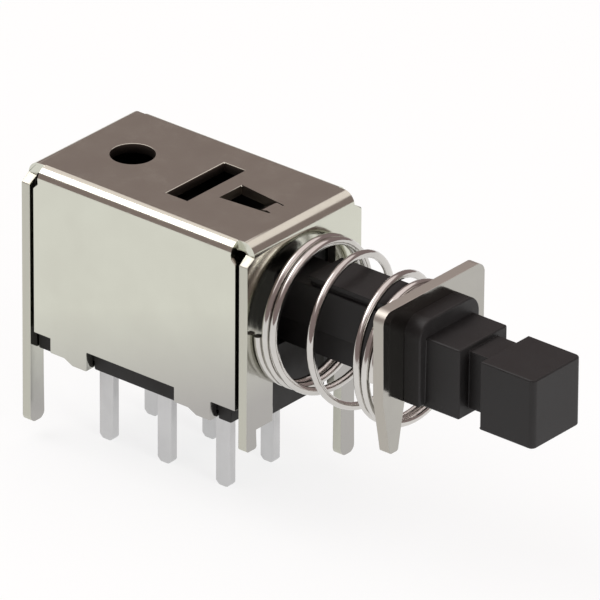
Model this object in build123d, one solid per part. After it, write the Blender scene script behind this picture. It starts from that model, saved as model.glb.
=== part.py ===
from build123d import *
import os

# Latching two-pole pushbutton switch for a circuit board, in millimetres.
# The origin is the centre of the terminal grid on the base's underside, where the board lies.
# +X runs out along the plunger and +Z is up. Left is +Y and right is -Y.

# Terminals: flat blades in two rows of three
PITCH = 2.5  # between neighbours of a row, along X
ROW_SPACING = 2.25  # between the rows, across Y
BLADE_WIDTH = 0.6  # along X
BLADE_THICK = 0.33  # across Y
BLADE_REACH = 3.25  # below the board face
BLADE_POINT = 0.14  # chamfer at the tip
PAD_WIDTH = 1.0  # contact end inside the base, along X
PAD_RISE = 0.7  # contact end above the floor
COLUMNS = {"rear": -1, "middle": 0, "front": 1}
SIDES = {"left": 1, "right": -1}

# Shell: one folded sheet
SHEET = 0.35
SHELL_FRONT = 4.86  # outer face of the front flap
SHELL_LENGTH = 9.6
SHELL_WIDTH = 5.75
SHELL_TOP = 6.75
BEND = 0.45  # outside radius of a fold
SKIRT = 0.75  # height of the sides' lower edge
SEAM = 0.15  # between a side's end and the flap beside it
RELIEF = 0.19  # side's top corner set back at a seam
RELIEF_DROP = 0.55  # how far below the roof that corner is set back
NECK_WIDTH = 5.0  # flap's width where it folds out of the roof
NECK_DROP = 0.46  # how far below the roof a flap keeps its neck's width
SHOULDER_DROP = 0.66  # how far below the roof a flap reaches its full width
FLAP_BOTTOM = 0.06
OPENING_WIDTH = 3.1  # front flap's cut-out
OPENING_TOP = 5.45
OPENING_CORNER = 0.3
LEG_WIDTH = 0.68  # long board legs
LEG_REACH = 2.66
LEG_POINT = 0.26  # rounding of a leg's tip
FRONT_LEG_INSET = 0.3  # long leg's outer edge from the shell's side
STUB_WIDTH = 0.5  # short corner tabs
STUB_REACH = 0.6
STUB_POINT = 0.1

# Crimp tabs below the shell's sides
CRIMP_WIDTH = 1.55
CRIMP_SPACING = 5.3  # between the two tabs of a side
CRIMP_CENTRE = -0.11  # midway between the two tabs, along X
CRIMP_HEEL = 0.6  # length of the tab's high edge
CRIMP_SLANT = 0.35
CRIMP_HEEL_Z = 0.22
CRIMP_BOTTOM = 0.05
LIP_REACH = 0.3  # crimped end under the base
LIP_THICK = 0.22

# Roof cut-outs, all on the centre line
HOLE_RADIUS = 0.75
HOLE_X = -2.44
SLOT_X = 0.67
SLOT_LENGTH = 0.88  # along X
SLOT_WIDTH = 2.9  # across Y
TONGUE_ROOT_X = 3.7
TONGUE_SPAN = 1.97  # opening's length
TONGUE_ROOT_WIDTH = 0.75
TONGUE_END_WIDTH = 1.1
TONGUE_KERF = 0.06
TONGUE_FLAT = 0.3  # straight length before the bend

# Base: open tub under the shell
SEAT_FIT = 0.025  # base to the shell around it
ROOF_GAP = 0.05
CORNER_RECESS = 0.6  # front corners set back from the front wall
LUG_WIDTH = 3.0  # front wall inside the flap's opening
FRONT_WALL = 0.8
REAR_WALL = 0.3
FLOOR = 1.3
RAIL_WIDTH = 0.8
RAIL_HEIGHT = 0.12

# Plunger: its outer blocks stack up along X from the retaining plate
TRAVEL = 2.5
RUNNING_GAP = 0.05  # moulding to moulding
END_GAP = 0.25  # slider to the rear wall when pushed home
SLIDER_WIDTH = 4.1
SLIDER_TOP = 5.0
SHAFT_WIDTH = 1.7
SHAFT_TOP = 5.35
SHAFT_BOTTOM = 2.47
SHAFT_WEB = 1.24  # narrower lower part
SHAFT_WEB_TOP = 3.5
COLLAR_WIDTH = 3.0
COLLAR_LENGTH = 0.66
COLLAR_BOTTOM = 2.56
COLLAR_TOP = 5.55
COLLAR_SHOULDER = 0.62  # rounding of its upper corners
BLOCK_WIDTH = 2.42
BLOCK_LENGTH = 1.38
BLOCK_TOP = 4.96
CAP_NECK_LENGTH = 0.86
CAP_NECK_WIDTH = 1.45
CAP_NECK_BOTTOM = 2.72
CAP_NECK_TOP = 4.78
HEAD_WIDTH = 2.42
HEAD_LENGTH = 2.17
HEAD_BOTTOM = 2.42
HEAD_TOP = 4.88
HEAD_CORNER = 0.2  # rounding of its upright front corners
EDGE = 0.07  # rounding of the other outer edges

# Retaining plate: a fork pushed over the shaft from above
PLATE = 0.42
PLATE_WIDTH = 5.1
PLATE_TOP = 6.08
PLATE_CORNER = 0.42
PLATE_FIT = 0.03
FORK_SHOULDER_Z = 2.9  # where the prongs' outer edges start to taper
FORK_MOUTH_Z = 2.55  # where the slot has its full width
FORK_MOUTH_WIDTH = 2.84
FORK_THROAT_Z = 3.1  # where the slot starts to widen
PRONG_TIP_Z = 0.92
PRONG_TIP_WIDTH = 0.4
PRONG_TIP_SPREAD = 3.52  # between the tips' inner edges
PRONG_TIP_CORNER = 0.1

# Return spring, round the shaft between flap and plate
SPRING_SPAN = 4.97
SPRING_OUTSIDE = 2.65  # radius
SPRING_AXIS_Z = 3.58
SPRING_WIRE = 0.28
CLOSED_TURNS = 2  # at each end
OPEN_SHARES = (0.45, 0.55)  # of the open length, for each open turn from the shell
COIL_GAP = 0.03
SPRING_SEAT = 0.02
WIRE_SIDES = 8  # round wire is drawn with this many flats

# Heart cam in the slider's top, and the latch pin whose tip runs in it
PIN_WIRE = 0.35
PIN_BEND = 0.2
PIN_FIT = 0.03
PIN_LIFT = 0.175  # arm's underside above the slider
PIN_HIGH_Z = 6.0  # arm's centre line over the front wall
PIN_DROP_X = 3.15  # where the arm leaves that height
PIN_DROP_RUN = 0.7
HEEL_DEPTH = 0.38
CAM_DEPTH = 0.5
CAM_CLEARANCE = 0.09  # lane's side to the pin
CAM_SWING = 0.5  # tip's sideways stroke on the way in
CAM_LATCH = 1.7  # travel at which the pin holds the plunger
CAM_RETURN = 0.62  # return lane's distance from the centre line

# Moving contacts: channels that ride in the slider and straddle the contact ends
CLIP_SHEET = 0.12
CLIP_GAP = 0.05  # clip to the contact ends
CLIP_POCKET = 0.03
CLIP_OVERRUN = 0.35  # past the middle of the outer contact ends

# Derived faces
shell_rear = SHELL_FRONT - SHELL_LENGTH
side_inner = SHELL_WIDTH / 2 - SHEET
roof_inner = SHELL_TOP - SHEET
side_rear = shell_rear + SHEET + SEAM
side_front = SHELL_FRONT - SHEET - SEAM
roof_rear = side_rear + RELIEF
roof_front = side_front - RELIEF
base_rear = shell_rear + SHEET + SEAT_FIT
base_front = SHELL_FRONT - SHEET - SEAT_FIT
base_side = side_inner - SEAT_FIT
base_top = roof_inner - ROOF_GAP
cavity_front = base_front - FRONT_WALL
cavity_rear = base_rear + REAR_WALL
slider_front = cavity_front - RUNNING_GAP
slider_rear = cavity_rear + TRAVEL + END_GAP
slider_bottom = FLOOR + RAIL_HEIGHT + RUNNING_GAP
pad_top = FLOOR + PAD_RISE
clip_web = pad_top + CLIP_GAP
plate_rear = SHELL_FRONT + SPRING_SPAN
plate_front = plate_rear + PLATE
collar_front = plate_front + COLLAR_LENGTH
block_front = collar_front + BLOCK_LENGTH
head_rear = block_front + CAP_NECK_LENGTH
head_front = head_rear + HEAD_LENGTH
heel_x = base_front - FRONT_WALL / 2
tip_x = SLOT_X
pin_low_z = SLIDER_TOP + PIN_LIFT + PIN_WIRE / 2
shaft_step = PIN_DROP_X + TRAVEL + RUNNING_GAP


def span(x, y, z):
    """Box between the (low, high) limits along each axis."""
    size = [high - low for low, high in (x, y, z)]
    middle = [(high + low) / 2 for low, high in (x, y, z)]
    return Pos(*middle) * Box(*size)


def about(centre, width):
    """(low, high) limits of a width about its centre."""
    return (centre - width / 2, centre + width / 2)


def prism(plane, points, start, end):
    """Solid between two distances along a plane's normal, with a polygon for its outline."""
    outline = plane.offset(start) * Polygon(*points, align=None)
    return extrude(outline, end - start, dir=plane.z_dir)


def channel(outside):
    """Inverted-U section of the folded sheet, with its roof at the shell's top."""
    depth = SHELL_TOP + LEG_REACH
    outer = Pos(0, SHELL_TOP - depth / 2) * Rectangle(outside, depth)
    outer = fillet(outer.vertices().group_by(Axis.Y)[-1], BEND)
    inner = Pos(0, roof_inner - depth / 2) * Rectangle(outside - 2 * SHEET, depth)
    inner = fillet(inner.vertices().group_by(Axis.Y)[-1], BEND - SHEET)
    return outer - inner


def crimp_centres():
    """X of the two crimp tabs of a side, rear first."""
    return [CRIMP_CENTRE + step * CRIMP_SPACING / 2 for step in (-1, 1)]


def crimp_outline(centre):
    """Crimp tab: a high heel at its rear, then a slant down to the crimped end."""
    rear, front = about(centre, CRIMP_WIDTH)
    return [
        (rear, SKIRT + SHEET),
        (rear, CRIMP_HEEL_Z),
        (rear + CRIMP_HEEL, CRIMP_HEEL_Z),
        (rear + CRIMP_HEEL + CRIMP_SLANT, CRIMP_BOTTOM),
        (front, CRIMP_BOTTOM),
        (front, SKIRT + SHEET),
    ]


def roof_and_sides():
    """Roof folded down into the two sides, with their crimp tabs."""
    full = SHELL_TOP - RELIEF_DROP
    outline = [
        (side_rear, SKIRT),
        (side_front, SKIRT),
        (side_front, full - RELIEF),
        (roof_front, full),
        (roof_front, SHELL_TOP),
        (roof_rear, SHELL_TOP),
        (roof_rear, full),
        (side_rear, full - RELIEF),
    ]
    half = SHELL_WIDTH / 2
    silhouette = prism(Plane.XZ, outline, -half, half)
    for centre in crimp_centres():
        silhouette += prism(Plane.XZ, crimp_outline(centre), -half, half)
    folded = extrude(Plane.YZ.offset(side_rear) * channel(SHELL_WIDTH), side_front - side_rear)
    return folded & silhouette


def lips():
    """Ends of the crimp tabs, turned in under the base."""
    made = []
    for centre in crimp_centres():
        front = centre + CRIMP_WIDTH / 2
        rear = front - CRIMP_WIDTH + CRIMP_HEEL + CRIMP_SLANT
        for side in SIDES.values():
            across = sorted((side * (side_inner - LIP_REACH), side * (side_inner + SHEET / 2)))
            made.append(span((rear, front), across, (CRIMP_BOTTOM, CRIMP_BOTTOM + LIP_THICK)))
    return made


def leg(outer_y, width, reach, point):
    """Flap's board leg in the YZ plane, inwards from its outer edge, with a rounded tip."""
    side = 1 if outer_y > 0 else -1
    top = FLAP_BOTTOM + SHEET
    blank = Pos(outer_y - side * width / 2, (top - reach) / 2) * Rectangle(width, top + reach)
    return fillet(blank.vertices().group_by(Axis.Y)[0], point)


def flap_outline(leg_side, leg_inset):
    """Flap with its neck, one long leg on the named side and a short tab on the other."""
    half = SHELL_WIDTH / 2
    shoulder = SHELL_TOP - SHOULDER_DROP
    panel = Polygon(
        (-half, FLAP_BOTTOM),
        (half, FLAP_BOTTOM),
        (half, shoulder),
        (NECK_WIDTH / 2, SHELL_TOP - NECK_DROP),
        (NECK_WIDTH / 2, SHELL_TOP),
        (-NECK_WIDTH / 2, SHELL_TOP),
        (-NECK_WIDTH / 2, SHELL_TOP - NECK_DROP),
        (-half, shoulder),
        align=None,
    )
    long_leg = leg(leg_side * (half - leg_inset), LEG_WIDTH, LEG_REACH, LEG_POINT)
    stub = leg(-leg_side * half, STUB_WIDTH, STUB_REACH, STUB_POINT)
    return panel + long_leg + stub


def flaps():
    """Roof folded down into the front and rear flaps."""
    half = SHELL_WIDTH / 2
    middle = SHELL_FRONT - SHELL_LENGTH / 2
    section = Pos(middle, 0) * channel(SHELL_LENGTH)
    folded = extrude(Plane.XZ.offset(-half) * section, SHELL_WIDTH)
    depth = SHELL_TOP + OPENING_TOP
    opening = Pos(0, OPENING_TOP - depth / 2) * Rectangle(OPENING_WIDTH, depth)
    opening = fillet(opening.vertices().group_by(Axis.Y)[-1], OPENING_CORNER)
    front_shape = flap_outline(SIDES["left"], FRONT_LEG_INSET) - opening
    rear_shape = flap_outline(SIDES["right"], 0)
    out = Plane.YZ.z_dir
    front = extrude(Plane.YZ.offset(roof_front) * front_shape, SHELL_FRONT - roof_front, dir=out)
    rear = extrude(Plane.YZ.offset(shell_rear) * rear_shape, roof_rear - shell_rear, dir=out)
    return (folded & front) + (folded & rear)


def tongue_plan(margin):
    """Outline of the lanced tongue or, with no margin, of its opening."""
    end_x = TONGUE_ROOT_X - TONGUE_SPAN + margin
    return [
        (TONGUE_ROOT_X, -TONGUE_ROOT_WIDTH / 2 + margin),
        (TONGUE_ROOT_X, TONGUE_ROOT_WIDTH / 2 - margin),
        (end_x, TONGUE_END_WIDTH / 2 - margin),
        (end_x, -TONGUE_END_WIDTH / 2 + margin),
    ]


def tongue():
    """Spring tongue lanced from the roof and bent down on to the latch pin."""
    mid_roof = SHELL_TOP - SHEET / 2
    end_x = TONGUE_ROOT_X - TONGUE_SPAN
    end_z = pin_low_z + PIN_WIRE / 2 + PIN_FIT + SHEET / 2
    path = FilletPolyline(
        (TONGUE_ROOT_X, 0, mid_roof),
        (TONGUE_ROOT_X - TONGUE_FLAT, 0, mid_roof),
        (end_x + SLOT_LENGTH / 2, 0, end_z + SHEET / 4),
        (end_x, 0, end_z),
        radius=SHEET,
    )
    across = Plane(path @ 0, x_dir=(0, 1, 0), z_dir=path % 0)
    return sweep(across * Rectangle(SHELL_WIDTH, SHEET), path)


def shell():
    """Folded sheet: roof, sides, flaps, roof cut-outs and spring tongue."""
    body = roof_and_sides() + flaps()
    for lip in lips():
        body += lip
    body -= Pos(HOLE_X, 0, SHELL_TOP) * Cylinder(HOLE_RADIUS, 2 * SHEET + BEND)
    body -= span(about(SLOT_X, SLOT_LENGTH), about(0, SLOT_WIDTH), (roof_inner - BEND, SHELL_TOP))
    body -= prism(Plane.XY, tongue_plan(0), roof_inner, SHELL_TOP)
    spring = tongue() & prism(Plane.XY, tongue_plan(TONGUE_KERF), 0, SHELL_TOP)
    return body + spring


def base():
    """Moulded tub with the front wall that guides the plunger and holds the pin's heel."""
    recess_front = base_front - CORNER_RECESS
    body = span((base_rear, recess_front), (-base_side, base_side), (0, base_top))
    body += span((cavity_front, base_front), about(0, LUG_WIDTH), (0, OPENING_TOP - PLATE_FIT))
    cavity_width = SLIDER_WIDTH + 2 * RUNNING_GAP
    body -= span((cavity_rear, cavity_front), about(0, cavity_width), (FLOOR, base_top))
    body += span((cavity_rear, cavity_front), about(0, RAIL_WIDTH), (FLOOR, FLOOR + RAIL_HEIGHT))
    body += span((cavity_front, base_front), about(0, NECK_WIDTH / 2), (FLOOR, PIN_HIGH_Z + PIN_WIRE / 2))
    passage = SHAFT_WIDTH + 2 * RUNNING_GAP
    body -= span(
        (cavity_front, base_front),
        about(0, passage),
        (SHAFT_BOTTOM - RUNNING_GAP, SHAFT_TOP + RUNNING_GAP),
    )
    arm_floor = PIN_HIGH_Z - PIN_WIRE / 2 - PIN_FIT
    arm_front = heel_x + PIN_WIRE / 2 + PIN_FIT
    arm_side = PIN_WIRE / 2 + CAM_SWING / 2
    body -= span((cavity_front, arm_front), (-arm_side, arm_side), (arm_floor, base_top))
    heel_hole = Cylinder(PIN_WIRE / 2 + PIN_FIT, HEEL_DEPTH + PIN_FIT)
    body -= Pos(heel_x, 0, PIN_HIGH_Z - (HEEL_DEPTH + PIN_FIT) / 2) * heel_hole
    for x, y in terminal_places().values():
        body -= span(
            about(x, BLADE_WIDTH + 2 * PIN_FIT),
            about(y, BLADE_THICK + 2 * PIN_FIT),
            (0, FLOOR),
        )
    for lip in lips():
        box = lip.bounding_box()
        inner = min(abs(box.min.Y), abs(box.max.Y)) - SEAT_FIT
        side = 1 if box.max.Y > 0 else -1
        across = sorted((side * inner, side * SHELL_WIDTH))
        along = (box.min.X - SEAT_FIT, box.max.X + SEAT_FIT)
        body -= span(along, across, (0, box.max.Z + SEAT_FIT))
    return body


def terminal_places():
    """Name of each terminal with its X and Y."""
    return {
        f"terminal_{side}_{column}": (COLUMNS[column] * PITCH, SIDES[side] * ROW_SPACING / 2)
        for side in SIDES
        for column in COLUMNS
    }


def terminal(x, y):
    """Flat blade with a pointed tip, and its wider contact end on the base's floor."""
    half = BLADE_WIDTH / 2
    outline = [
        (x - half, FLOOR),
        (x - PAD_WIDTH / 2, FLOOR),
        (x - PAD_WIDTH / 2, pad_top),
        (x + PAD_WIDTH / 2, pad_top),
        (x + PAD_WIDTH / 2, FLOOR),
        (x + half, FLOOR),
        (x + half, BLADE_POINT - BLADE_REACH),
        (x + half - BLADE_POINT, -BLADE_REACH),
        (x - half + BLADE_POINT, -BLADE_REACH),
        (x - half, BLADE_POINT - BLADE_REACH),
    ]
    blade = prism(Plane.XZ, outline, -y - BLADE_THICK / 2, -y + BLADE_THICK / 2)
    return blade


def clip_span():
    """X limits of a moving contact at rest: it bridges the middle and front contact ends."""
    return (-CLIP_OVERRUN, PITCH + CLIP_OVERRUN)


def contact_clip(y):
    """Channel of thin sheet over a row's contact ends."""
    inner = BLADE_THICK + 2 * CLIP_GAP
    bottom = FLOOR + CLIP_GAP * 2
    outside = span(clip_span(), about(y, inner + 2 * CLIP_SHEET), (bottom, clip_web + CLIP_SHEET))
    return outside - span(clip_span(), about(y, inner), (bottom, clip_web))


def cam_points():
    """Corners of the cam's lane, in the order that the pin's tip passes them."""
    home = (tip_x, 0)
    inner_end = (tip_x + TRAVEL, CAM_SWING)
    latch = (tip_x + CAM_LATCH, 0)
    turn = (tip_x + TRAVEL, -CAM_RETURN)
    back = (tip_x + (TRAVEL - CAM_LATCH), -CAM_RETURN)
    return [home, inner_end, latch, turn, back]


def cam():
    """Heart-shaped groove: the closed lane round a notched island."""
    lane = PIN_WIRE + 2 * CAM_CLEARANCE
    points = cam_points()
    groove = Sketch()
    for start, end in zip(points, points[1:] + points[:1]):
        groove += capsule(start, end, lane)
    return extrude(Pos(0, 0, SLIDER_TOP - CAM_DEPTH) * groove, CAM_DEPTH)


def capsule(start, end, width):
    """Straight lane with round ends between two points."""
    line = Line(start, end)
    across = Plane(line @ 0.5, x_dir=line % 0, z_dir=(0, 0, 1))
    return across * SlotCenterToCenter(line.length, width)


def shaft():
    """Plunger's shaft, with a narrower web below and a lower top inside the housing."""
    body = span(
        (slider_front, plate_front),
        about(0, SHAFT_WIDTH),
        (SHAFT_WEB_TOP, SHAFT_TOP),
    )
    body += span((slider_front, plate_front), about(0, SHAFT_WEB), (SHAFT_BOTTOM, SHAFT_WEB_TOP))
    body += span((plate_rear, plate_front), about(0, SHAFT_WIDTH), (SHAFT_BOTTOM, SHAFT_WEB_TOP))
    return body - span((slider_front, shaft_step), about(0, SHAFT_WIDTH), (SLIDER_TOP, SHAFT_TOP))


def collar():
    """Flange in front of the retaining plate, with rounded shoulders."""
    outline = Rectangle(COLLAR_WIDTH, COLLAR_TOP - COLLAR_BOTTOM)
    outline = fillet(outline.vertices().group_by(Axis.Y)[-1], COLLAR_SHOULDER)
    middle = Pos(0, (COLLAR_TOP + COLLAR_BOTTOM) / 2)
    body = extrude(Plane.YZ.offset(plate_front) * middle * outline, COLLAR_LENGTH)
    return fillet(body.faces().sort_by(Axis.X)[-1].edges(), EDGE)


def head():
    """End block that a button cap is pushed on to."""
    body = span((head_rear, head_front), about(0, HEAD_WIDTH), (HEAD_BOTTOM, HEAD_TOP))
    body = fillet(body.edges().filter_by(Axis.Z).group_by(Axis.X)[-1], HEAD_CORNER)
    levels = body.faces().filter_by(Axis.Z)
    return fillet(levels.edges(), EDGE)


def plunger():
    """Moulded plunger: slider with cam and contact channels, shaft, collar and outer blocks."""
    body = span((slider_rear, slider_front), about(0, SLIDER_WIDTH), (slider_bottom, SLIDER_TOP))
    clip_width = BLADE_THICK + 2 * (CLIP_GAP + CLIP_SHEET + CLIP_POCKET)
    for side in SIDES.values():
        row = about(side * ROW_SPACING / 2, clip_width)
        body -= span((slider_rear, slider_front), row, (slider_bottom, clip_web - CLIP_POCKET))
        rear, front = clip_span()
        pocket = (rear - CLIP_POCKET, front + CLIP_POCKET)
        body -= span(pocket, row, (slider_bottom, clip_web + CLIP_SHEET + CLIP_POCKET))
    body -= cam()
    body += shaft()
    body += collar()
    block = span((plate_front, block_front), about(0, BLOCK_WIDTH), (SHAFT_BOTTOM, BLOCK_TOP))
    body += fillet(block.edges() - block.faces().sort_by(Axis.X)[0].edges(), EDGE)
    neck = (CAP_NECK_BOTTOM, CAP_NECK_TOP)
    body += span((collar_front, head_rear + EDGE), about(0, CAP_NECK_WIDTH), neck)
    return body + head()


def retaining_plate():
    """Fork with tapered prongs, open downwards over the shaft."""
    half = PLATE_WIDTH / 2
    tip_inner = PRONG_TIP_SPREAD / 2
    throat = SHAFT_WIDTH / 2 + PLATE_FIT
    slot_top = SHAFT_TOP + PLATE_FIT
    right = [
        (0, PLATE_TOP),
        (half, PLATE_TOP),
        (half, FORK_SHOULDER_Z),
        (tip_inner + PRONG_TIP_WIDTH, PRONG_TIP_Z),
        (tip_inner, PRONG_TIP_Z),
        (FORK_MOUTH_WIDTH / 2, FORK_MOUTH_Z),
        (throat, FORK_THROAT_Z),
        (throat, slot_top),
        (0, slot_top),
    ]
    blank = prism(Plane.YZ, right, plate_rear, plate_front)
    blank += mirror(blank, Plane.XZ)
    levels = blank.edges().filter_by(Axis.X).group_by(Axis.Z)
    blank = fillet(levels[-1], PLATE_CORNER)
    levels = blank.edges().filter_by(Axis.X).group_by(Axis.Z)
    return fillet(levels[0], PRONG_TIP_CORNER)


def wire_section(path, diameter):
    """Many-sided section of a round wire, square to the start of its path."""
    return Plane(path @ 0, z_dir=path % 0) * RegularPolygon(diameter / 2, WIRE_SIDES)


def return_spring():
    """Compression spring: closed turns at each end and open turns between."""
    radius = SPRING_OUTSIDE - SPRING_WIRE / 2
    closed_pitch = SPRING_WIRE + COIL_GAP
    closed = CLOSED_TURNS * closed_pitch
    open_length = SPRING_SPAN - SPRING_WIRE - 2 * SPRING_SEAT - 2 * closed
    open_stretches = [(share * open_length, 1) for share in OPEN_SHARES]
    ends = [(closed_pitch, CLOSED_TURNS)]
    stretches = ends + open_stretches + ends
    edges = []
    height = 0
    turned = 0
    for pitch, turns in stretches:
        stretch = Pos(0, 0, height) * Rot(0, 0, turned) * Helix(pitch, pitch * turns, radius)
        edges += stretch.edges()
        height += pitch * turns
        turned += 360 * turns
    path = Wire(edges)
    coil = sweep(wire_section(path, SPRING_WIRE), path)
    start = SHELL_FRONT + SPRING_SEAT + SPRING_WIRE / 2
    return Pos(start, 0, SPRING_AXIS_Z) * Rot(0, 90, 0) * Rot(0, 0, -90) * coil


def latch_pin():
    """Bent wire: heel in the front wall, arm over the slider, tip down in the cam."""
    path = FilletPolyline(
        (heel_x, 0, PIN_HIGH_Z - HEEL_DEPTH),
        (heel_x, 0, PIN_HIGH_Z),
        (PIN_DROP_X, 0, PIN_HIGH_Z),
        (PIN_DROP_X - PIN_DROP_RUN, 0, pin_low_z),
        (tip_x, 0, pin_low_z),
        (tip_x, 0, SLIDER_TOP - CAM_DEPTH + RUNNING_GAP),
        radius=PIN_BEND,
    )
    return sweep(wire_section(path, PIN_WIRE), path)


def assemble():
    """Every piece of the switch by name."""
    pieces = {
        "shell": shell(),
        "base": base(),
        "plunger": plunger(),
        "retaining_plate": retaining_plate(),
        "return_spring": return_spring(),
        "latch_pin": latch_pin(),
    }
    for name, place in terminal_places().items():
        pieces[name] = terminal(*place)
    for name, side in SIDES.items():
        pieces[f"contact_clip_{name}"] = contact_clip(side * ROW_SPACING / 2)
    return pieces


os.makedirs("parts", exist_ok=True)
for node, piece in assemble().items():
    export_step(piece, f"parts/{node}.step")
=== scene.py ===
"""Latching pushbutton switch: finishes, detailed pieces, studio and camera.

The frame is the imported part's: the origin is the centre of the terminal grid on the base's
underside, +X runs out along the plunger and +Z is up. Lengths are in metres and angles in degrees,
except where a class or function says otherwise.
"""

import logging
import math
from collections.abc import Callable
from dataclasses import dataclass, replace
from enum import Enum

import bpy
from mathutils import Matrix, Vector

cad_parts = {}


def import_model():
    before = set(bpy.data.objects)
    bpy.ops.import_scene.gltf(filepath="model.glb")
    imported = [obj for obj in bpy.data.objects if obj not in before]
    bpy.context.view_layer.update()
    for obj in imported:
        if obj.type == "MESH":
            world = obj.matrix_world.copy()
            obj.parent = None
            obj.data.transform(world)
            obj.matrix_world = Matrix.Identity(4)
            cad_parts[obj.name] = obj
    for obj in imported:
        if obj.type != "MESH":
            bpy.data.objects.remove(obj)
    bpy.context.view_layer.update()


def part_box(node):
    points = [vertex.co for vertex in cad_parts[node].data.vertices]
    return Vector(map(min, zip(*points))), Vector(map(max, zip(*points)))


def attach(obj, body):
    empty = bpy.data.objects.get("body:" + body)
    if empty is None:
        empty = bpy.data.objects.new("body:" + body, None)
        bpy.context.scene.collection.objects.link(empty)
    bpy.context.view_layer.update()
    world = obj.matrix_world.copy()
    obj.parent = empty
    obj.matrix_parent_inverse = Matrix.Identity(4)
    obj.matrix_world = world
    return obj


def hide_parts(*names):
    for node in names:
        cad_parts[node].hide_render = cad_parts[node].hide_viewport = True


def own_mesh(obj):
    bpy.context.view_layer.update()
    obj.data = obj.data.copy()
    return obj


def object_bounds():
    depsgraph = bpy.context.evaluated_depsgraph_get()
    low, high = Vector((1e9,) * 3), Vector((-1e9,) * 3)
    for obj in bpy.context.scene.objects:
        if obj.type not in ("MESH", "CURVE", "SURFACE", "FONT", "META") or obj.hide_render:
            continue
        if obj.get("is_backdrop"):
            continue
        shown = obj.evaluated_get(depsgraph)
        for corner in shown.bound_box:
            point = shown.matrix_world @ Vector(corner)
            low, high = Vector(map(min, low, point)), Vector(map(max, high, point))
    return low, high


LOG = logging.getLogger("switch")
MM = 0.001

Triple = tuple[float, float, float]
Colour = Triple
# Lowest and highest corner of a box.
Span = tuple[Vector, Vector]
Piece = bpy.types.Object
Socket = bpy.types.NodeSocket

SIDES = ("left", "right")
EVEN: Triple = (1.0, 1.0, 1.0)
WHITE: Colour = (1.0, 1.0, 1.0)
# Places of the Mix node's factor and two colours among its inputs, and of its mixed colour.
MIX_INPUTS = (0, 6, 7)
MIX_RESULT = 2
# A face runs along an axis while its normal's part on that axis is smaller than this.
ALONG_LIMIT = 0.63


# ---------------------------------------------------------------- shader building


@dataclass(frozen=True)
class Pattern:
    """A noise pattern: waves per millimetre, octaves, their weight and how much finer on each axis."""

    waves: float
    octaves: float = 3.0
    fine_weight: float = 0.5
    stretch: Triple = EVEN


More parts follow.
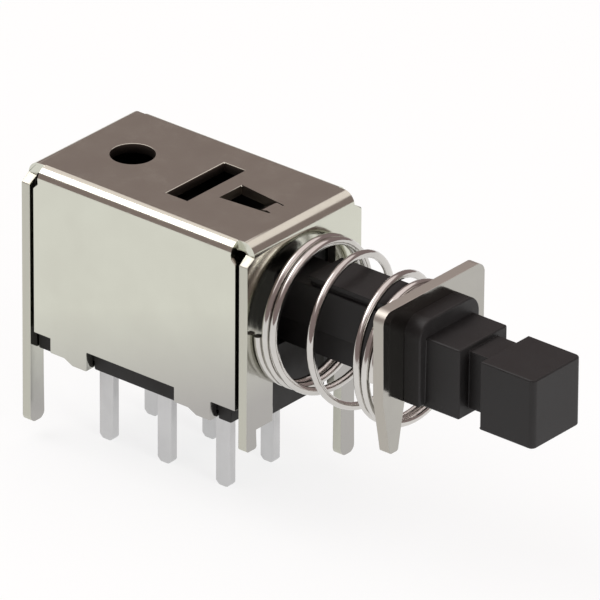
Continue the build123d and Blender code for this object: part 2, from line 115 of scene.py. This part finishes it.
class Graph:
    """A material's or world's node tree, with short ways to add nodes and join them."""

    def __init__(self, tree: bpy.types.NodeTree) -> None:
        """Take over a node tree and empty it.

        Args:
            tree: the tree to build in.
        """
        self.tree = tree
        tree.nodes.clear()

    def add(self, kind: str, **values: object) -> bpy.types.Node:
        """Add a node and set its properties.

        Args:
            kind: the node's type name without its ShaderNode prefix.
            values: property names and their values.

        Returns:
            The new node.
        """
        node = self.tree.nodes.new(f"ShaderNode{kind}")
        for name, value in values.items():
            setattr(node, name, value)
        return node

    def join(self, source: Socket, target: Socket) -> None:
        """Link one socket to another."""
        self.tree.links.new(source, target)

    def feed(self, target: Socket, value: object) -> None:
        """Link a socket, or set a plain value, into an input.

        Args:
            target: the input socket.
            value: an output socket, a number or a colour.
        """
        if isinstance(value, Socket):
            self.join(value, target)
        elif target.type == "RGBA":
            target.default_value = (*value, 1.0)
        else:
            target.default_value = value

    def millimetres(self, stretch: Triple = EVEN) -> Socket:
        """Object coordinates in millimetres.

        Args:
            stretch: how many times finer a pattern gets along each axis.

        Returns:
            The vector output.
        """
        place = self.add("TexCoord")
        mapping = self.add("Mapping")
        mapping.inputs["Scale"].default_value = tuple(finer / MM for finer in stretch)
        self.join(place.outputs["Object"], mapping.inputs["Vector"])
        return mapping.outputs["Vector"]

    def noise(self, pattern: Pattern) -> Socket:
        """Lay a noise pattern over a piece.

        Args:
            pattern: the pattern.

        Returns:
            The noise's factor.
        """
        node = self.add("TexNoise")
        self.join(self.millimetres(pattern.stretch), node.inputs["Vector"])
        node.inputs["Scale"].default_value = pattern.waves
        node.inputs["Detail"].default_value = pattern.octaves
        node.inputs["Roughness"].default_value = pattern.fine_weight
        return node.outputs["Fac"]

    def spread(
        self, source: Socket, low: float, high: float, start: float = 0.3, end: float = 0.7
    ) -> Socket:
        """Map a factor to a range.

        Args:
            source: the factor.
            low: result at start.
            high: result at end.
            start: source value that gives low.
            end: source value that gives high.

        Returns:
            The mapped value.
        """
        node = self.add("MapRange")
        for name, value in (("From Min", start), ("From Max", end), ("To Min", low), ("To Max", high)):
            node.inputs[name].default_value = value
        self.join(source, node.inputs["Value"])
        return node.outputs["Result"]

    def mix(self, share: object, first: object, second: object) -> Socket:
        """Mix two colours.

        Args:
            share: how much of the second colour, from 0 to 1.
            first: a colour or a colour socket.
            second: a colour or a colour socket.

        Returns:
            The mixed colour.
        """
        node = self.add("Mix", data_type="RGBA")
        for place, value in zip(MIX_INPUTS, (share, first, second)):
            self.feed(node.inputs[place], value)
        return node.outputs[MIX_RESULT]

    def blend(self, share: Socket, first: Socket, second: Socket) -> Socket:
        """Blend two shaders.

        Args:
            share: how much of the second shader, from 0 to 1.
            first: a shader.
            second: a shader.

        Returns:
            The blended shader.
        """
        node = self.add("MixShader")
        for target, source in zip(node.inputs, (share, first, second)):
            self.join(source, target)
        return node.outputs["Shader"]

    def maths(self, operation: str, first: object, second: object) -> Socket:
        """Combine two numbers.

        Args:
            operation: the Math node's operation.
            first: a number or a socket.
            second: a number or a socket.

        Returns:
            The result.
        """
        node = self.add("Math", operation=operation)
        self.feed(node.inputs[0], first)
        self.feed(node.inputs[1], second)
        return node.outputs["Value"]

    def bump(self, height: Socket, depth: float) -> Socket:
        """Surface relief from a height.

        Args:
            height: factor from 0 to 1.
            depth: the relief's depth.

        Returns:
            The bumped normal.
        """
        node = self.add("Bump")
        node.inputs["Strength"].default_value = 1.0
        node.inputs["Distance"].default_value = depth
        self.join(height, node.inputs["Height"])
        return node.outputs["Normal"]


def new_material(name: str) -> tuple[bpy.types.Material, Graph, bpy.types.Node]:
    """Start a node material.

    Args:
        name: the material's name.

    Returns:
        The material, its graph and its shader node.
    """
    material = bpy.data.materials.new(name)
    material.use_nodes = True
    graph = Graph(material.node_tree)
    shader = graph.add("BsdfPrincipled")
    output = graph.add("OutputMaterial")
    graph.join(shader.outputs["BSDF"], output.inputs["Surface"])
    return material, graph, shader


# ---------------------------------------------------------------- finishes


class Cut(Enum):
    """Kinds of sheared face on sheet metal, each with the name of the attribute that marks it.

    The walls of the roof's openings are coloured near black as painted shade.
    """

    EDGE = "sheared_edge"
    # The openings' walls take a near-black colour: painted shade inside the roof's openings.
    WALL = "opening_wall"

    def mark(self, piece: Piece, chosen: Callable[[Vector, Vector], bool]) -> None:
        """Mark faces of a piece as cut.

        Args:
            piece: a mesh object.
            chosen: tells from a face's centre and normal whether it is marked.
        """
        layer = piece.data.attributes.new(self.value, "FLOAT", "FACE")
        for face in piece.data.polygons:
            layer.data[face.index].value = float(chosen(face.center, face.normal))

    def share(self, graph: Graph) -> Socket:
        """One on marked faces and zero elsewhere."""
        return graph.add("Attribute", attribute_name=self.value).outputs["Fac"]


@dataclass(frozen=True)
class PaintedLowerShade:
    """Painted shade: the folded sheet's lower part turns greyer, for the table's shadow mirrored in
    it.

    Lengths are in millimetres.

    Its upper limit is at the given top where the front flap stands, and falls away towards the rear.
    """

    colour: Colour
    top: float = 4.7
    fade: float = 3.7
    slope: float = 0.34
    flap_face: float = 4.86

    def share(self, graph: Graph) -> Socket:
        """Tell how much of the painted shade a point has.

        Args:
            graph: the node tree to build in.

        Returns:
            Zero above the upper limit, rising to one over the fade below it.
        """
        split = graph.add("SeparateXYZ")
        graph.join(graph.millimetres(), split.inputs["Vector"])
        ahead = graph.maths("SUBTRACT", split.outputs["X"], self.flap_face)
        rise = graph.maths("MULTIPLY", ahead, self.slope)
        height = graph.maths("SUBTRACT", split.outputs["Z"], rise)
        return graph.spread(height, 1.0, 0.0, self.top - self.fade, self.top)


@dataclass(frozen=True)
class Surface:
    """What every finish has: the record's material slot, two shades and a range of roughness."""

    slot: str
    shades: tuple[Colour, Colour]
    roughness: tuple[float, float]

    @property
    def name(self) -> str:
        """The material's name."""
        return f"{self.slot}_finish"

    def build(self) -> bpy.types.Material:
        """Make the material."""
        raise NotImplementedError(self.slot)


@dataclass(frozen=True)
class PlatedMetal(Surface):
    """Plated sheet or wire: a metal with faint clouding, rolling grain and fine scuffs."""

    grain: Triple = EVEN
    relief: float = 0.0004 * MM
    clouds: Pattern = Pattern(0.55, 4.0, 0.55)
    scuffs: Pattern = Pattern(7.0, 5.0, 0.6)
    wear: Pattern = Pattern(1.4)
    wear_range: tuple[float, float] = (0.15, 0.4)
    painted_lower_shade: PaintedLowerShade | None = None
    cuts_and_wall_shade: tuple[tuple[Cut, Colour], ...] = ()
    cut_roughness: float = 0.45

    def build(self) -> bpy.types.Material:
        """Make the material.

        Returns:
            The finished material.
        """
        material, graph, shader = new_material(self.name)
        colour = graph.mix(graph.spread(graph.noise(self.clouds), 0.0, 1.0), *self.shades)
        # Painted shade: the sheet's lower part darkens, for the table's shadow mirrored in it.
        if self.painted_lower_shade is not None:
            colour = graph.mix(self.painted_lower_shade.share(graph), colour, self.painted_lower_shade.colour)
        scuffs = graph.noise(replace(self.scuffs, stretch=self.grain))
        wear = graph.maths("MULTIPLY", scuffs, graph.noise(self.wear))
        roughness = graph.spread(wear, *self.roughness, *self.wear_range)
        # Each cut's colour is laid over its faces: the sheared edges' own duller tone, and painted
        # shade on the opening walls.
        for cut, cut_tone_and_shade in self.cuts_and_wall_shade:
            share = cut.share(graph)
            colour = graph.mix(share, colour, cut_tone_and_shade)
            least = graph.maths("MULTIPLY", share, self.cut_roughness)
            roughness = graph.maths("MAXIMUM", roughness, least)
        shader.inputs["Metallic"].default_value = 1.0
        graph.feed(shader.inputs["Base Color"], colour)
        graph.feed(shader.inputs["Roughness"], roughness)
        graph.feed(shader.inputs["Normal"], graph.bump(scuffs, self.relief))
        return material


@dataclass(frozen=True)
class Moulding(Surface):
    """Moulded black plastic: faint mottling and a fine spark-eroded texture."""

    relief: float = 0.003 * MM
    mottling: Pattern = Pattern(1.1, 4.0, 0.6)
    texture: Pattern = Pattern(24.0, 4.0, 0.65)
    sheen: float = 0.3

    def build(self) -> bpy.types.Material:
        """Make the material.

        Returns:
            The finished material.
        """
        material, graph, shader = new_material(self.name)
        mottling = graph.noise(self.mottling)
        colour = graph.mix(graph.spread(mottling, 0.0, 1.0), *self.shades)
        graph.feed(shader.inputs["Base Color"], colour)
        graph.feed(shader.inputs["Roughness"], graph.spread(mottling, *self.roughness))
        graph.feed(shader.inputs["Normal"], graph.bump(graph.noise(self.texture), self.relief))
        shader.inputs["Specular IOR Level"].default_value = self.sheen
        return material


class Finish(Enum):
    """The switch's finishes."""

    SHEET = PlatedMetal(
        slot="plated_sheet",
        shades=((0.635, 0.645, 0.56), (0.605, 0.61, 0.53)),
        roughness=(0.10, 0.2),
        grain=(1.0, 1.0, 0.12),
        # Painted shade: the sheet's lower part turns greyer, for the table's shadow mirrored in it.
        painted_lower_shade=PaintedLowerShade((0.42, 0.41, 0.39)),
        # The sheared edges' tone is their own; the opening walls' near-black brown is painted shade,
        # darker than dull cut metal.
        cuts_and_wall_shade=((Cut.EDGE, (0.56, 0.56, 0.49)), (Cut.WALL, (0.16, 0.14, 0.12))),
    )
    PLATE = PlatedMetal(
        slot="polished_plate",
        shades=((0.44, 0.43, 0.395), (0.40, 0.39, 0.36)),
        roughness=(0.08, 0.18),
        grain=(1.0, 0.15, 1.0),
        cuts_and_wall_shade=((Cut.EDGE, (0.46, 0.44, 0.395)),),
    )
    WIRE = PlatedMetal(
        slot="spring_wire",
        shades=((0.64, 0.625, 0.595), (0.54, 0.525, 0.5)),
        roughness=(0.08, 0.2),
    )
    TERMINAL = PlatedMetal(
        slot="tinned_terminal",
        shades=((0.60, 0.60, 0.60), (0.56, 0.56, 0.56)),
        roughness=(0.3, 0.42),
        grain=(1.0, 1.0, 0.15),
        relief=0.0005 * MM,
    )
    BRONZE = PlatedMetal(
        slot="contact_bronze",
        shades=((0.78, 0.58, 0.34), (0.66, 0.47, 0.27)),
        roughness=(0.16, 0.3),
        grain=(0.15, 1.0, 1.0),
        relief=0.0006 * MM,
    )
    BASE = Moulding(
        slot="black_moulding",
        shades=((0.009, 0.009, 0.0085), (0.014, 0.0135, 0.0125)),
        roughness=(0.42, 0.6),
    )
    PLUNGER = Moulding(
        slot="plunger_moulding",
        shades=((0.0085, 0.008, 0.008), (0.0125, 0.012, 0.012)),
        roughness=(0.4, 0.52),
    )

    def dress(self, piece: Piece) -> None:
        """Give a piece this finish and nothing else; its material is made at its first use.

        Args:
            piece: a mesh object.
        """
        material = bpy.data.materials.get(self.value.name) or self.value.build()
        piece.data.materials.clear()
        piece.data.materials.append(material)

    def dress_solid(self, node: str) -> Piece:
        """Dress a CAD node that stays as it is.

        Args:
            node: the CAD node's name.

        Returns:
            The node's object.
        """
        piece = bpy.data.objects[node]
        self.dress(piece)
        return piece


# ---------------------------------------------------------------- mesh helpers


def select_only(piece: Piece) -> None:
    """Deselect everything, then select one piece and make it active.

    Args:
        piece: the piece to select.
    """
    bpy.ops.object.select_all(action="DESELECT")
    piece.select_set(True)
    bpy.context.view_layer.objects.active = piece


def apply_modifier(piece: Piece, kind: str, **settings: object) -> None:
    """Add a modifier with its settings and apply it.

    Args:
        piece: the object it works on, which stays selected.
        kind: the modifier's type.
        settings: property names and their values.
    """
    select_only(piece)
    modifier = piece.modifiers.new(kind.lower(), kind)
    for name, value in settings.items():
        setattr(modifier, name, value)
    bpy.ops.object.modifier_apply(modifier=modifier.name)


def cut_groove(piece: Piece, low: Vector, high: Vector) -> None:
    """Cut a straight groove out of a piece.

    Args:
        piece: the closed mesh to cut.
        low: the groove's lowest corner.
        high: its highest corner.
    """
    bpy.ops.object.select_all(action="DESELECT")
    bpy.ops.mesh.primitive_cube_add(size=1, location=(low + high) / 2, scale=high - low)
    cutter = bpy.context.active_object
    apply_modifier(piece, "BOOLEAN", operation="DIFFERENCE", solver="EXACT", object=cutter)
    bpy.data.objects.remove(cutter)


@dataclass(frozen=True)
class EdgeBreak:
    """How a piece's sharp edges are rounded: only those long enough to take the rounding.

    Points within merge of each other become one, and faces within flat_angle become one. An edge is
    sharp past sharp_angle, and long enough from shortest times the radius.
    """

    radius: float
    segments: int = 2
    sharp_angle: float = 32.0
    merge: float = 2e-7
    flat_angle: float = 0.4
    shortest: float = 2.4
    large_face_weight: int = 80

    def refine(self, node: str, name: str, grooves: tuple[Span, ...] = ()) -> Piece:
        """Copy a CAD node, cut its grooves and round its sharp edges.

        Args:
            node: the CAD node's name.
            name: the new piece's name.
            grooves: lowest and highest corner of each groove.

        Returns:
            The new piece, in the node's place.
        """
        piece = bpy.data.objects.new(name, bpy.data.objects[node].data.copy())
        bpy.context.scene.collection.objects.link(piece)
        select_only(piece)
        bpy.ops.mesh.customdata_custom_splitnormals_clear()
        bpy.ops.object.mode_set(mode="EDIT")
        bpy.ops.mesh.select_all(action="SELECT")
        bpy.ops.mesh.remove_doubles(threshold=self.merge)
        bpy.ops.mesh.dissolve_limited(angle_limit=math.radians(self.flat_angle))
        bpy.ops.object.mode_set(mode="OBJECT")
        for low, high in grooves:
            cut_groove(piece, low, high)
        self.weigh(piece.data)
        apply_modifier(
            piece,
            "BEVEL",
            width=self.radius,
            segments=self.segments,
            limit_method="WEIGHT",
            use_clamp_overlap=False,
        )
        bpy.ops.object.shade_smooth_by_angle(angle=math.radians(self.sharp_angle))
        apply_modifier(piece, "WEIGHTED_NORMAL", keep_sharp=True, weight=self.large_face_weight)
        return piece

    def weigh(self, mesh: bpy.types.Mesh) -> None:
        """Mark the sharp edges that are long enough to be rounded.

        Args:
            mesh: the mesh to mark.
        """
        normals: dict[tuple[int, int], list[Vector]] = {}
        for face in mesh.polygons:
            for key in face.edge_keys:
                normals.setdefault(key, []).append(face.normal)
        weights = mesh.attributes.new("bevel_weight_edge", "FLOAT", "EDGE")
        limit = math.radians(self.sharp_angle)
        for edge in mesh.edges:
            start, end = (mesh.vertices[vertex].co for vertex in edge.vertices)
            sides = normals.get(edge.key, [])
            sharp = len(sides) == 2 and sides[0].angle(sides[1]) > limit
            long_enough = (start - end).length > self.shortest * self.radius
            weights.data[edge.index].value = float(sharp and long_enough)


def settle(piece: Piece, finish: Finish, body: str, node: str) -> Piece:
    """Dress a piece, let it ride on a body and stand for a CAD node.

    Args:
        piece: the finished mesh.
        finish: its finish.
        body: name of the body that carries it.
        node: the CAD node that it replaces.

    Returns:
        The piece.
    """
    finish.dress(piece)
    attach(piece, body)
    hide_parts(node)
    return piece


# ---------------------------------------------------------------- sub-assemblies


@dataclass
class Housing:
    """Folded shell, moulded base and the six terminals."""

    body: str = "housing"
    columns: tuple[str, ...] = ("rear", "middle", "front")
    shell_edge: EdgeBreak = EdgeBreak(0.035 * MM)
    base_edge: EdgeBreak = EdgeBreak(0.05 * MM)
    blade_edge: EdgeBreak = EdgeBreak(0.05 * MM, 3)
    flap_middle: float = 0.06 * MM
    flap_inner: float = 4.46 * MM
    flap_fold: float = 6.3 * MM
    openings_reach: tuple[float, float] = (4.0 * MM, 1.6 * MM)
    roof_underside: float = 6.38 * MM

    def build(self) -> list[Piece]:
        """Make the shell, the base and the terminals."""
        return [self.shell(), self.base(), *self.terminals()]

    def shell(self) -> Piece:
        """Make the folded shell, with its sheared edges and its painted-shade opening walls marked.

        Returns:
            The shell.
        """
        shell = self.shell_edge.refine("shell", "folded_shell")
        Cut.EDGE.mark(shell, self.is_flap_edge)
        # The walls of the roof's openings are marked for painted shade.
        Cut.WALL.mark(shell, self.is_shaded_opening_wall)
        return settle(shell, Finish.SHEET, self.body, "shell")

    def base(self) -> Piece:
        """Make the moulded base."""
        base = self.base_edge.refine("base", "moulded_base")
        return settle(base, Finish.BASE, self.body, "base")

    def terminals(self) -> list[Piece]:
        """Make the two rows of terminals.

        Returns:
            The six blades.
        """
        blades = []
        for side in SIDES:
            for column in self.columns:
                node = f"terminal_{side}_{column}"
                blade = self.blade_edge.refine(node, f"blade_{side}_{column}")
                blades.append(settle(blade, Finish.TERMINAL, self.body, node))
        return blades

    def is_flap_edge(self, centre: Vector, normal: Vector) -> bool:
        """Tell whether a face is a sheared edge of an end flap, below the flap's fold."""
        on_flap = abs(centre.x - self.flap_middle) > self.flap_inner and centre.z < self.flap_fold
        return on_flap and abs(normal.x) < ALONG_LIMIT

    def is_shaded_opening_wall(self, centre: Vector, normal: Vector) -> bool:
        """Tell whether a face is a wall of one of the roof's openings, which gets painted shade."""
        inside = all(abs(at) < reach for at, reach in zip(centre.xy, self.openings_reach))
        return inside and centre.z > self.roof_underside and abs(normal.z) < ALONG_LIMIT


@dataclass
class PushRod:
    """Moulded plunger with its retaining plate and the two moving contacts."""

    body: str = "plunger"
    plunger_edge: EdgeBreak = EdgeBreak(0.04 * MM)
    plate_edge: EdgeBreak = EdgeBreak(0.04 * MM, 3)
    shaft_half_width: float = 0.85 * MM
    undercut_depth: float = 0.13 * MM
    undercut_along: tuple[float, float] = (4.95 * MM, 9.7 * MM)
    undercut_heights: tuple[float, float] = (5.0 * MM, 5.17 * MM)

    def build(self) -> list[Piece]:
        """Make the plunger and its plate, and dress the contacts."""
        clips = [Finish.BRONZE.dress_solid(f"contact_clip_{side}") for side in SIDES]
        return [self.plunger(), self.plate(), *clips]

    def plunger(self) -> Piece:
        """Make the plunger, with its undercuts."""
        plunger = self.plunger_edge.refine("plunger", "moulded_plunger", self.undercuts())
        return settle(plunger, Finish.PLUNGER, self.body, "plunger")

    def plate(self) -> Piece:
        """Make the retaining plate, with its sheared edges marked.

        Returns:
            The plate.
        """
        plate = self.plate_edge.refine("retaining_plate", "forked_plate")
        Cut.EDGE.mark(plate, self.is_plate_edge)
        return settle(plate, Finish.PLATE, self.body, "retaining_plate")

    def undercuts(self) -> tuple[Span, ...]:
        """Grooves that run along both sides of the shaft, under its top.

        Returns:
            Lowest and highest corner of each groove.
        """
        (start, end), (bottom, top) = self.undercut_along, self.undercut_heights
        inner = self.shaft_half_width - self.undercut_depth
        outer = self.shaft_half_width + self.undercut_depth
        return (
            (Vector((start, inner, bottom)), Vector((end, outer, top))),
            (Vector((start, -outer, bottom)), Vector((end, -inner, top))),
        )

    def is_plate_edge(self, centre: Vector, normal: Vector) -> bool:
        """Tell whether a face is a sheared edge of the plate, wherever its centre is."""
        return abs(normal.x) < ALONG_LIMIT


@dataclass
class ReturnSpring:
    """Round-wire compression spring with closed ends."""

    body: str = "housing"
    wire: float = 0.28 * MM
    closed_turns: float = 2.0
    open_shares: tuple[float, float] = (0.45, 0.55)
    coil_gap: float = 0.03 * MM
    plate_end_drop: float = 0.17 * MM
    plate_end_shrink: float = 0.18 * MM
    travel: float = 2.5 * MM
    steps_per_turn: int = 48
    wire_resolution: int = 5
    smooth_angle: float = 50.0

    def build(self) -> list[Piece]:
        """Wind the spring between the front flap and the plate.

        Returns:
            The spring alone.
        """
        low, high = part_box("return_spring")
        points = self.centre_line(low, high)
        curve = bpy.data.curves.new("coil_spring", "CURVE")
        curve.dimensions = "3D"
        curve.bevel_depth = self.wire / 2
        curve.bevel_resolution = self.wire_resolution
        curve.use_fill_caps = True
        line = curve.splines.new("POLY")
        line.points.add(len(points) - 1)
        for target, point in zip(line.points, points):
            target.co = (*point, 1.0)
        piece = bpy.data.objects.new("coil_spring", curve)
        bpy.context.scene.collection.objects.link(piece)
        select_only(piece)
        bpy.ops.object.convert(target="MESH")
        piece = bpy.context.view_layer.objects.active
        bpy.ops.object.shade_smooth_by_angle(angle=math.radians(self.smooth_angle))
        settle(piece, Finish.WIRE, self.body, "return_spring")
        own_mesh(piece)
        return [piece]

    def centre_line(self, low: Vector, high: Vector) -> list[Vector]:
        """Points along the wire, whose coils sink and narrow a little towards the plate.

        Args:
            low: the spring's lowest corner.
            high: its highest corner.

        Returns:
            The wire's centre line, from the flap to the plate.
        """
        middle = (low + high) / 2
        radius = (high.y - low.y - self.wire) / 2
        first = low.x + self.wire / 2
        length = high.x - low.x - self.wire
        closed_pitch = self.wire + self.coil_gap
        open_length = length - 2 * self.closed_turns * closed_pitch
        turns = 2 * self.closed_turns + len(self.open_shares)
        count = int(turns * self.steps_per_turn)
        points = []
        for step in range(count + 1):
            turn = turns * step / count
            past = [turn - self.closed_turns - before for before in range(len(self.open_shares))]
            opened = [min(max(part, 0.0), 1.0) for part in past]
            along = first + (turn - sum(opened)) * closed_pitch
            along += sum(part * share for part, share in zip(opened, self.open_shares)) * open_length
            share = (along - first) / length
            angle = math.tau * turn
            reach = radius - self.plate_end_shrink * share
            centre = Vector((along, middle.y, middle.z - self.plate_end_drop * share))
            points.append(centre + Vector((0.0, -math.cos(angle), -math.sin(angle))) * reach)
        return points


@dataclass
class Latch:
    """Bent-wire latch pin, which keeps its solid."""

    node: str = "latch_pin"

    def build(self) -> list[Piece]:
        """Dress the pin."""
        return [Finish.WIRE.dress_solid(self.node)]


# ---------------------------------------------------------------- studio


@dataclass(frozen=True)
class Lamp:
    """Soft square lamp that faces the switch; the metal shows it only where it is mirrored."""

    name: str
    place: Triple
    size: float
    watts: float
    mirrored: bool = True
    target: Triple = (4 * MM, 0.0, 3 * MM)

    def hang(self) -> Piece:
        """Make the lamp and turn it to its target.

        Returns:
            The lamp's object.
        """
        light = bpy.data.lights.new(self.name, "AREA")
        light.size = self.size
        light.energy = self.watts
        lamp = bpy.data.objects.new(self.name, light)
        lamp.location = self.place
        lamp.visible_glossy = self.mirrored
        towards = Vector(self.target) - Vector(self.place)
        lamp.rotation_euler = towards.to_track_quat("-Z", "Y").to_euler()
        bpy.context.scene.collection.objects.link(lamp)
        return lamp


@dataclass
class Studio:
    """White table, two lamps and the surroundings that the metal mirrors.

    The surroundings are a dim horizon under a bright sky, with a hood that dims a round patch of it.
    """

    table_size: float = 0.6
    table_colour: Colour = (0.86, 0.86, 0.85)
    table_roughness: float = 0.9
    paper_white: float = 0.82
    horizon_colour: Colour = (0.30, 0.236, 0.231)
    sky_colour: Colour = (1.12, 1.0, 0.99)
    horizon_top: float = 35.0
    sky_start: float = 40.0
    hood_towards: Triple = (0.57, -0.684, 0.456)
    hood_inner: float = 28.0
    hood_outer: float = 36.0
    key: Lamp = Lamp("key", (-0.18, -0.09, 0.3), 0.24, 0.5)
    front: Lamp = Lamp("front", (0.3, -0.06, 0.05), 0.12, 1.0, mirrored=False)

    def build(self) -> list[Piece]:
        """Make the surroundings, the table and the lamps."""
        self.surroundings()
        return [self.table(), self.key.hang(), self.front.hang()]

    def table(self) -> Piece:
        """Lay the table at the terminals' tips.

        Returns:
            The table.
        """
        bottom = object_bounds()[0].z
        bpy.ops.object.select_all(action="DESELECT")
        bpy.ops.mesh.primitive_plane_add(size=self.table_size, location=(0, 0, bottom))
        table = bpy.context.active_object
        table.name = "table"
        bpy.ops.object.transform_apply(location=True)
        material, graph, shader = new_material("table_paper")
        shader.inputs["Roughness"].default_value = self.table_roughness
        graph.feed(shader.inputs["Base Color"], self.table_colour)
        white = graph.add("Emission")
        share = graph.maths("MULTIPLY", self.background_rays(graph), self.paper_white)
        paper = graph.blend(share, shader.outputs["BSDF"], white.outputs["Emission"])
        graph.join(paper, graph.tree.nodes["Material Output"].inputs["Surface"])
        table.data.materials.append(material)
        table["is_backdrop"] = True
        return table

    def background_rays(self, graph: Graph) -> Socket:
        """Tell the rays that show the background, to the eye or in metal, from those that light.

        Args:
            graph: the node tree to build in.

        Returns:
            One for camera, mirror and see-through rays, and zero for the others.
        """
        path = graph.add("LightPath").outputs
        mirrored = graph.maths("MAXIMUM", path["Is Glossy Ray"], path["Is Transmission Ray"])
        return graph.maths("MAXIMUM", path["Is Camera Ray"], mirrored)

    def surroundings(self) -> None:
        """White to the camera; to everything else the horizon, the sky and the hood."""
        world = bpy.data.worlds.new("studio")
        bpy.context.scene.world = world
        world.use_nodes = True
        graph = Graph(world.node_tree)
        around = graph.add("Background")
        colour = graph.mix(self.open_sky(graph), self.horizon_colour, self.sky_colour)
        graph.feed(around.inputs["Color"], colour)
        seen = graph.add("Background")
        graph.feed(seen.inputs["Color"], WHITE)
        camera_rays = graph.add("LightPath").outputs["Is Camera Ray"]
        either = graph.blend(camera_rays, around.outputs["Background"], seen.outputs["Background"])
        graph.join(either, graph.add("OutputWorld").inputs["Surface"])

    def open_sky(self, graph: Graph) -> Socket:
        """Tell how much of the sky's colour a direction has.

        Args:
            graph: the world's node tree.

        Returns:
            One in the open sky, and zero near the horizon and under the hood.
        """
        towards = graph.add("TexCoord").outputs["Generated"]
        split = graph.add("SeparateXYZ")
        graph.join(towards, split.inputs["Vector"])
        rise = [math.sin(math.radians(angle)) for angle in (self.horizon_top, self.sky_start)]
        height = graph.spread(split.outputs["Z"], 0.0, 1.0, *rise)
        facing = graph.add("VectorMath", operation="DOT_PRODUCT")
        graph.join(towards, facing.inputs[0])
        facing.inputs[1].default_value = Vector(self.hood_towards).normalized()
        rim = [math.cos(math.radians(angle)) for angle in (self.hood_outer, self.hood_inner)]
        outside = graph.spread(facing.outputs["Value"], 1.0, 0.0, *rim)
        return graph.maths("MULTIPLY", height, outside)


@dataclass
class Viewpoint:
    """Long-lens camera; its focal length is in millimetres."""

    azimuth: float = 39.82
    elevation: float = 27.12
    roll: float = 0.33
    distance: float = 0.3781
    focal_length: float = 703.5
    aim: Triple = (4.86 * MM, -0.015 * MM, 3.70 * MM)
    aim_right: float = -0.1354 * MM
    aim_up: float = 0.1326 * MM
    nearest: float = 10 * MM
    farthest: float = 10.0

    def build(self) -> list[Piece]:
        """Place the camera and make it the scene's.

        Returns:
            The camera alone.
        """
        azimuth, elevation, roll = map(math.radians, (self.azimuth, self.elevation, self.roll))
        level = Vector((math.cos(azimuth), math.sin(azimuth), 0))
        back = Vector((math.sin(azimuth), -math.cos(azimuth), 0)) * math.cos(elevation)
        back.z = math.sin(elevation)
        upright = back.cross(level)
        right = level * math.cos(roll) + upright * math.sin(roll)
        up = upright * math.cos(roll) - level * math.sin(roll)
        target = Vector(self.aim) + right * self.aim_right + up * self.aim_up
        data = bpy.data.cameras.new("camera")
        data.lens = self.focal_length
        data.clip_start = self.nearest
        data.clip_end = self.farthest
        camera = bpy.data.objects.new("camera", data)
        turn = Matrix((right, up, back)).transposed()
        camera.matrix_world = Matrix.Translation(target + back * self.distance) @ turn.to_4x4()
        bpy.context.scene.collection.objects.link(camera)
        bpy.context.scene.camera = camera
        return [camera]


def main() -> None:
    """Load the frame, build every sub-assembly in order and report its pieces."""
    logging.basicConfig(level=logging.INFO, format="%(name)s: %(message)s")
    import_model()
    bpy.context.scene.view_settings.view_transform = "Standard"
    for part in (Housing(), PushRod(), ReturnSpring(), Latch(), Studio(), Viewpoint()):
        for piece in part.build():
            LOG.info("%s: %s", type(part).__name__, piece.name)


if __name__ == "__main__":
    main()
